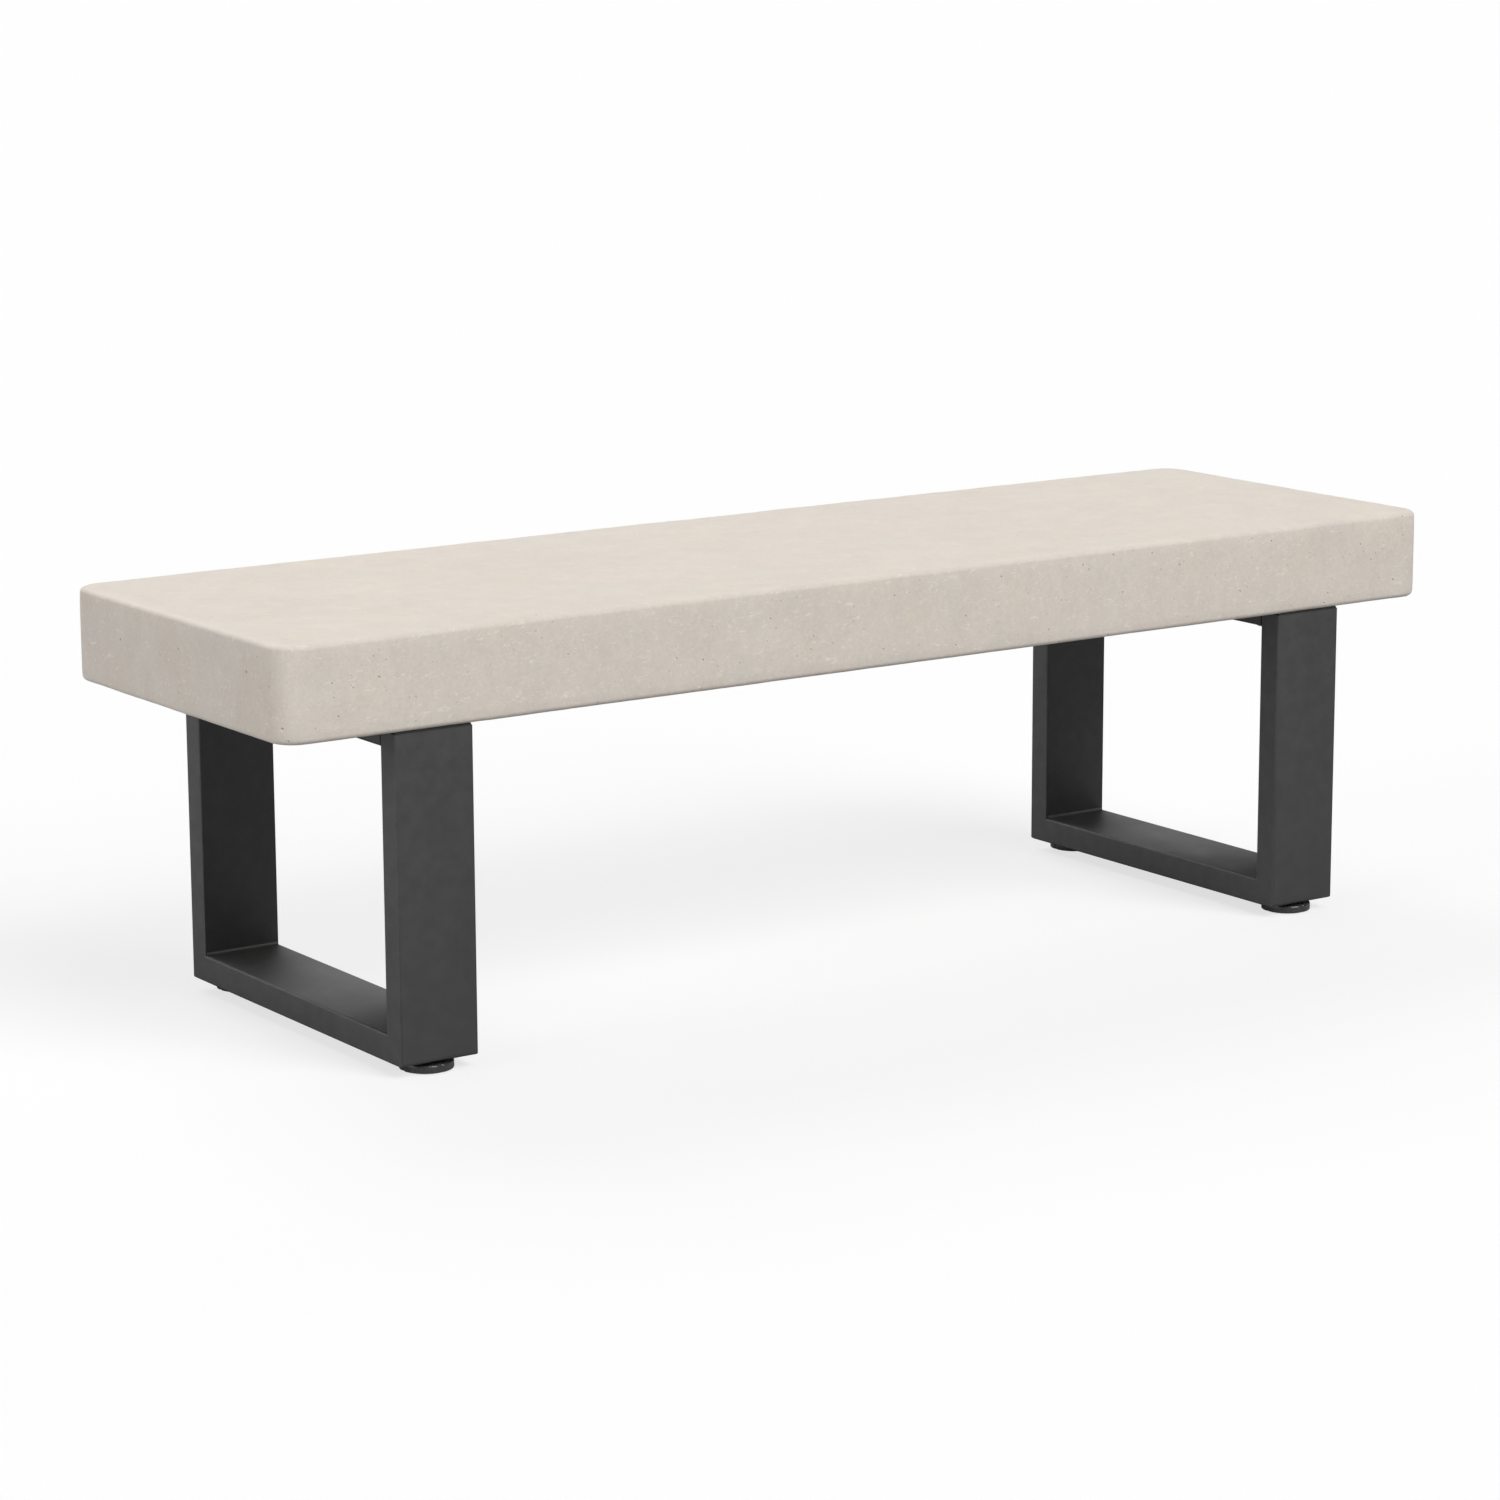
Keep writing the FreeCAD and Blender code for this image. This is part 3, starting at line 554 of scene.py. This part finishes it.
def seatProfile(height, topRounding, lowRounding, reach):
    # (inset, height) from the middle of the underside, round the side, to the middle of the top
    under, lowArc, side = seat["underSteps"], seat["lowArcSteps"], seat["sideSteps"]
    topArc, top = seat["topArcSteps"], seat["topSteps"]
    profile = [(reach * (1 - i / under), 0.0) for i in range(under)]
    for i in range(lowArc + 1):
        turn = math.radians(90 * i / lowArc)
        profile.append((lowRounding * (1 - math.sin(turn)), lowRounding * (1 - math.cos(turn))))
    straight = height - topRounding - lowRounding
    profile += [(0.0, lowRounding + straight * i / side) for i in range(1, side)]
    for i in range(topArc + 1):
        turn = math.radians(90 * i / topArc)
        profile.append((topRounding * (1 - math.cos(turn)),
                        height - topRounding * (1 - math.sin(turn))))
    profile += [(topRounding + (reach - topRounding) * i / top, height) for i in range(1, top + 1)]
    return profile


def wander(place, inset, level):
    # how far the cast surface lies inside the ideal one at a point
    nearArris = math.exp(-((inset - 0.003) / 0.012) ** 2) * math.exp(-(level / 0.012) ** 2)
    slow = 0.5 + 0.5 * noise.noise(place * 17.0)
    quick = 0.5 + 0.5 * noise.noise(place * 62.0 + Vector((9, 4, 2)))
    face = 0.5 + 0.5 * noise.noise(place * 9.0 + Vector((3, 8, 5)))
    return seat["arrisWave"] * nearArris * (0.6 * slow + 0.4 * quick) + seat["faceWave"] * face


def makeSeatMesh():
    height = seatHigh.z - seatLow.z
    reach = (seatHigh.y - seatLow.y) / 2
    counts = (seat["alongLength"], seat["alongDepth"], seat["aroundCorner"])
    middle = Vector((0, 0, seatLow.z + height / 2))
    rings = []
    for inset, rise in seatProfile(height, seat["topRounding"], seat["lowRounding"], reach):
        ring = []
        for u, v in roundedOutline(seatLow, seatHigh, seat["cornerRadius"], inset, counts):
            place = Vector((u, v, seatLow.z + rise))
            away = place - middle
            outward = Vector((away.x / seatHigh.x, away.y / seatHigh.y, away.z / (height / 2)))
            direction = Vector([max(-1.0, min(1.0, part)) ** 5 for part in outward])
            level = min(height - rise, rise + 0.006)
            ring.append(place - direction.normalized() * wander(place, inset, level)
                        if direction.length > 1e-6 else place)
        rings.append(ring)
    shape = bmesh.new()
    bridgeRings(shape, rings)
    bmesh.ops.remove_doubles(shape, verts=shape.verts[:], dist=1e-5)
    bmesh.ops.dissolve_degenerate(shape, edges=shape.edges[:], dist=1e-6)
    return meshFromBmesh("concreteSeat", shape)


def newGeometryTree(name, inputs):
    # a Geometry Nodes tree with named inputs, and its input and output nodes
    tree = bpy.data.node_groups.new(name, "GeometryNodeTree")
    addSocket(tree, "Geometry", "INPUT", "NodeSocketGeometry")
    kinds = {int: "NodeSocketInt", float: "NodeSocketFloat", bpy.types.Material: "NodeSocketMaterial"}
    for key, value in inputs.items():
        addSocket(tree, key, "INPUT", kinds[type(value)], value)
    addSocket(tree, "Geometry", "OUTPUT", "NodeSocketGeometry")
    return tree, tree.nodes.new("NodeGroupInput"), tree.nodes.new("NodeGroupOutput")


def runTree(item, tree, inputs):
    # apply the tree to the object and keep the result as a plain mesh
    modifier = item.modifiers.new(tree.name, "NODES")
    modifier.node_group = tree
    sockets = {socket.name: socket.identifier for socket in tree.interface.items_tree
               if socket.in_out == "INPUT"}
    for key, value in inputs.items():
        modifier[sockets[key]] = value
    evaluated = item.evaluated_get(bpy.context.evaluated_depsgraph_get())
    mesh = bpy.data.meshes.new_from_object(evaluated)
    item.modifiers.remove(modifier)
    item.data = mesh
    mesh.name = item.name
    return item


def makeHoleTree():
    # small round air holes cut into the faces of a casting, mostly the upright ones
    tree, given, out = newGeometryTree("airHoles", {
        "Density": 190.0, "Top share": 0.1, "Smallest": 0.0005, "Largest": 0.00125, "Seed": 7,
        "Material": concrete})
    facing = addNode(tree, "GeometryNodeInputNormal").outputs[0]
    level = addNode(tree, "ShaderNodeSeparateXYZ", None, Vector=facing).outputs[2]
    steep = calc(tree, "LESS_THAN", calc(tree, "ABSOLUTE", level), 0.5)
    flat = calc(tree, "SUBTRACT", 1.0, steep)
    share = calc(tree, "ADD", steep, calc(tree, "MULTIPLY", flat, given.outputs["Top share"]))
    density = calc(tree, "MULTIPLY", share, given.outputs["Density"])
    points = addNode(tree, "GeometryNodeDistributePointsOnFaces", None, Mesh=given.outputs[0],
                     Density=density, Seed=given.outputs["Seed"])
    hole = addNode(tree, "GeometryNodeMeshIcoSphere", None, Radius=1.0, Subdivisions=2)
    size = addNode(tree, "FunctionNodeRandomValue", {"data_type": "FLOAT"})
    setInput(tree, size, 2, given.outputs["Smallest"])
    setInput(tree, size, 3, given.outputs["Largest"])
    setInput(tree, size, "Seed", given.outputs["Seed"])
    holes = addNode(tree, "GeometryNodeInstanceOnPoints", None, Points=points.outputs[0],
                    Instance=hole.outputs[0], Rotation=points.outputs["Rotation"], Scale=size.outputs[1])
    solid = addNode(tree, "GeometryNodeRealizeInstances", None, Geometry=holes.outputs[0])
    cut = addNode(tree, "GeometryNodeMeshBoolean", {"operation": "DIFFERENCE", "solver": "EXACT"})
    tree.links.new(given.outputs[0], cut.inputs[0])
    tree.links.new(solid.outputs[0], cut.inputs[1])
    whole = addNode(tree, "GeometryNodeRealizeInstances", None, Geometry=cut.outputs[0])
    painted = addNode(tree, "GeometryNodeSetMaterial", None, Geometry=whole.outputs[0],
                      Material=given.outputs["Material"])
    tree.links.new(painted.outputs[0], out.inputs[0])
    return tree


def makeSeat():
    item = addObject("concreteSeat", makeSeatMesh())
    runTree(item, makeHoleTree(), {
        "Density": seat["holeDensity"], "Top share": seat["topHoleShare"],
        "Smallest": seat["holeSize"][0], "Largest": seat["holeSize"][1], "Seed": seat["seed"]})
    smoothByAngle(item.data, 34)
    dress(item, benchBody, "concrete", concrete, "seat_slab")
    print("seat made,", len(item.data.polygons), "faces")


makeSeat()


# steel legs and fixings

def makeLegs():
    for side in legSides:
        for name in ("front_upright", "back_upright", "bottom_rail", "top_plate", "welds",
                     "front_cap", "back_cap"):
            refine(f"{side}_{name}", coat, "leg_coating")
        refine(f"{side}_gasket", gasketRubber, "gasket_rubber")
        for name in ("sockets", "bolts", "washers"):
            refine(f"{side}_{name}", zinc, "zinc_steel")
    for name in ("rebar_bars", "rebar_stirrups"):
        refine(name, rebarSteel, "rebar_steel")
    print("legs and fixings made")


makeLegs()


# feet

foot = {
    "steps": 144,            # facets round a disc
    "notches": 4,
    "notchWidth": 0.005,
    "notchDepth": 0.0014,
    "notchBlend": 0.0004,    # half the width of a notch's sloping side
    "rimRounding": 0.0013,
    "lowRimRounding": 0.0006,
    "recessGap": 0.0004,     # between the sole and the disc around it
    "recessDepth": 0.002,
    "shankRadius": 0.00495,
    "pivotSocket": 0.006,
    "soleGrooves": 4,
    "grooveWidth": 0.0016,
    "grooveSlope": 0.0002,
    "grooveDepth": 0.0007,
    "soleThickness": 0.0028,
    "soleRounding": 0.0008,
    "soleTopRounding": 0.0003,
    "pivotRadius": 0.00595,
    "pivotRounding": 0.0004,
}


def lathe(name, centre, profile, steps, shaper=None):
    # a closed turned solid from (radius, height) points; shaper may change a radius by angle
    rings = []
    for radius, height in profile:
        ring = []
        for i in range(steps):
            angle = 2 * math.pi * i / steps
            reach = shaper(radius, angle) if shaper else radius
            ring.append((centre.x + reach * math.cos(angle), centre.y + reach * math.sin(angle), height))
        rings.append(ring)
    shape = bmesh.new()
    rows = bridgeRings(shape, rings)
    if profile[0][0] > 0 and profile[-1][0] > 0:
        for i in range(steps):
            j = (i + 1) % steps
            shape.faces.new((rows[-1][i], rows[-1][j], rows[0][j], rows[0][i]))
    bmesh.ops.remove_doubles(shape, verts=shape.verts[:], dist=1e-7)
    return meshFromBmesh(name, shape)


def notched(radius, angle):
    # the disc's rim dips smoothly at each grip notch
    rim = discRim
    if radius < rim - 2 * foot["notchDepth"]:
        return radius
    spacing = 2 * math.pi / foot["notches"]
    away = abs((angle + spacing / 2) % spacing - spacing / 2) * rim
    half = foot["notchWidth"] / 2
    blend = foot["notchBlend"]
    share = max(0.0, min(1.0, (half + blend - away) / (2 * blend)))
    share = share * share * (3 - 2 * share)
    return min(radius, rim - foot["notchDepth"] * share) if share > 0 else radius


def footPlace(corner):
    low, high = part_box(corner + "_sole")
    return (low + high) / 2


def arcPoints(r, z, rounding, start, end, count=6):
    # points of a quarter round about (r, z)
    return [(r + rounding * math.cos(math.radians(start + (end - start) * i / count)),
             z + rounding * math.sin(math.radians(start + (end - start) * i / count)))
            for i in range(count + 1)]


def makeDisc(corner):
    low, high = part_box(corner + "_disc")
    soleLow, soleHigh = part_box(corner + "_sole")
    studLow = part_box(corner + "_stud")[0].z
    bevel, lowBevel = foot["rimRounding"], foot["lowRimRounding"]
    recess = (soleHigh.x - soleLow.x) / 2 + foot["recessGap"]
    ceiling = low.z + foot["recessDepth"]
    shank, socket = foot["shankRadius"], foot["pivotSocket"]
    profile = [(recess, low.z)]
    profile += arcPoints(discRim - lowBevel, low.z + lowBevel, lowBevel, -90, 0)
    profile += arcPoints(discRim - bevel, high.z - bevel, bevel, 0, 90)
    profile += [(shank + 0.0004, high.z), (shank, high.z - 0.0004), (shank, studLow),
                (socket, studLow - 0.0002), (socket, ceiling), (recess, ceiling)]
    mesh = lathe(camel(corner) + "Disc", footPlace(corner), profile, foot["steps"], notched)
    smoothByAngle(mesh, 40)
    dress(addObject(camel(corner) + "Disc", mesh), corner + "_screw", "disc_finish", enamel,
          corner + "_disc")


def makeSole(corner):
    low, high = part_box(corner + "_sole")
    rim = (high.x - low.x) / 2
    top, edge, topEdge = foot["soleThickness"], foot["soleRounding"], foot["soleTopRounding"]
    half, slope = foot["grooveWidth"] / 2, foot["grooveSlope"]
    profile = [(0.0, low.z)]
    count = foot["soleGrooves"]
    for i in range(1, count + 1):
        place = rim * i / (count + 1)
        profile += [(place - half, low.z), (place - half + slope, low.z + foot["grooveDepth"]),
                    (place + half - slope, low.z + foot["grooveDepth"]), (place + half, low.z)]
    profile += arcPoints(rim - edge, low.z + edge, edge, -90, 0)
    profile += arcPoints(rim - topEdge, top - topEdge, topEdge, 0, 90, 3)
    pivot, bend = foot["pivotRadius"], foot["pivotRounding"]
    profile += [(pivot, top)] + arcPoints(pivot - bend, high.z - bend, bend, 0, 90, 3)
    profile += [(0.0, high.z)]
    mesh = lathe(camel(corner) + "Sole", footPlace(corner), profile, foot["steps"] // 2)
    smoothByAngle(mesh, 40)
    dress(addObject(camel(corner) + "Sole", mesh), corner + "_sole", "sole_rubber", soleRubber,
          corner + "_sole")


def makeStud(corner):
    refine(corner + "_stud", studSteel, "stud_steel", corner + "_screw")


discLow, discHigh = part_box("front_left_disc")
discRim = (discHigh.x - discLow.x) / 2 + 0.0001
for corner in footCorners:
    makeDisc(corner)
    makeSole(corner)
    makeStud(corner)
    refine(corner + "_insert", zinc, "zinc_steel")
print("feet made")


# floor, light and camera

studio = {
    "floorSize": 60.0,
    "floorDrop": 0.0002,     # keeps the floor's plane off the soles' undersides
    "floorGlow": 0.70,       # keeps the shadows on the floor faint
    "floorColor": (0.235, 0.235, 0.235, 1),
    "floorBounce": (0.30, 0.30, 0.30, 1),
    "ambient": 0.004,
    "lampSpread": 34,        # each lamp's width, in degrees
    "lamps": {               # degrees from the front towards the right, degrees up, strength
        "frontLamp": (15, 40, 2.05),
        "highFrontLamp": (10, 60, 0.89),
        "lowFrontLamp": (0, 15, 0.55),
        "leftLamp": (-90, 15, 1.48),
        "backLeftLamp": (-140, 8, 0.47),
        "highBackLeftLamp": (-135, 30, 0.17),
        "backLamp": (180, 45, 1.39),
        "backRightLamp": (146, 25, 0.33),
    },
}


def makeFloor():
    # the eye sees a pale glowing floor, and the bench gets the light of a greyer one
    half = studio["floorSize"] / 2
    mesh = bpy.data.meshes.new("floor")
    low = -studio["floorDrop"]
    corners = [(-half, -half, low), (half, -half, low), (half, half, low), (-half, half, low)]
    mesh.from_pydata(corners, [], [(0, 1, 2, 3)])
    floor = addObject("floor", mesh)
    material, tree, shader, where = newMaterial("paleFloor", Roughness=0.9, Specular_IOR_Level=0.0,
                                                Emission_Color=(1, 1, 1, 1),
                                                Emission_Strength=studio["floorGlow"])
    patch = calc(tree, "MULTIPLY", noiseAt(tree, where, 3.0, 3), 0.03)
    setInput(tree, shader, "Base Color", mixColors(tree, patch, studio["floorColor"], (0.2, 0.2, 0.2, 1)))
    bounce = addNode(tree, "ShaderNodeBsdfDiffuse", None, Color=studio["floorBounce"])
    path = addNode(tree, "ShaderNodeLightPath")
    both = addNode(tree, "ShaderNodeMixShader")
    output = next(node for node in tree.nodes if node.type == "OUTPUT_MATERIAL")
    tree.links.new(path.outputs["Is Camera Ray"], both.inputs[0])
    tree.links.new(bounce.outputs[0], both.inputs[1])
    tree.links.new(shader.outputs[0], both.inputs[2])
    tree.links.new(both.outputs[0], output.inputs[0])
    mesh.materials.append(material)


def makeWorld():
    world = bpy.data.worlds.new("studioWorld")
    world.use_nodes = True
    scene.world = world
    tree = world.node_tree
    tree.nodes.clear()
    seen = addNode(tree, "ShaderNodeBackground", None, Color=(1, 1, 1, 1), Strength=1.0)
    shining = addNode(tree, "ShaderNodeBackground", None, Color=(1, 1, 1, 1), Strength=studio["ambient"])
    path = addNode(tree, "ShaderNodeLightPath")
    both = addNode(tree, "ShaderNodeMixShader")
    tree.links.new(path.outputs["Is Camera Ray"], both.inputs[0])
    tree.links.new(shining.outputs[0], both.inputs[1])
    tree.links.new(seen.outputs[0], both.inputs[2])
    tree.links.new(both.outputs[0], addNode(tree, "ShaderNodeOutputWorld").inputs[0])


def makeLamp(name, heading, height, strength):
    light = bpy.data.lights.new(name, "SUN")
    light.energy = strength
    light.angle = math.radians(studio["lampSpread"])
    lamp = addObject(name, light)
    turn, rise = math.radians(heading), math.radians(height)
    towards = Vector((math.sin(turn) * math.cos(rise), -math.cos(turn) * math.cos(rise), math.sin(rise)))
    lamp.rotation_euler = towards.to_track_quat("Z", "Y").to_euler()


camera = {
    "place": (-2.7232, -3.8716, 1.2084),
    "heading": 34.703,       # degrees from +Y towards +X
    "dip": 11.735,           # degrees below the horizon
    "tilt": -0.229,
    "lens": 104.39,
}


def makeCamera():
    eye = bpy.data.cameras.new("benchCamera")
    eye.lens = camera["lens"]
    eye.sensor_width = 36
    item = addObject("benchCamera", eye)
    heading, dip, tilt = (math.radians(camera[key]) for key in ("heading", "dip", "tilt"))
    ahead = Vector((math.sin(heading) * math.cos(dip), math.cos(heading) * math.cos(dip), -math.sin(dip)))
    right = Vector((math.cos(heading), -math.sin(heading), 0))
    up = right.cross(ahead)
    turned = math.cos(tilt) * right + math.sin(tilt) * up
    item.matrix_world = Matrix.Translation(camera["place"]) @ Matrix(
        (turned, turned.cross(ahead), -ahead)).transposed().to_4x4()
    scene.camera = item


makeFloor()
makeWorld()
for name, (heading, height, strength) in studio["lamps"].items():
    makeLamp(name, heading, height, strength)
makeCamera()
scene.view_settings.view_transform = "Standard"
scene.view_settings.look = "None"

print("bench ready")
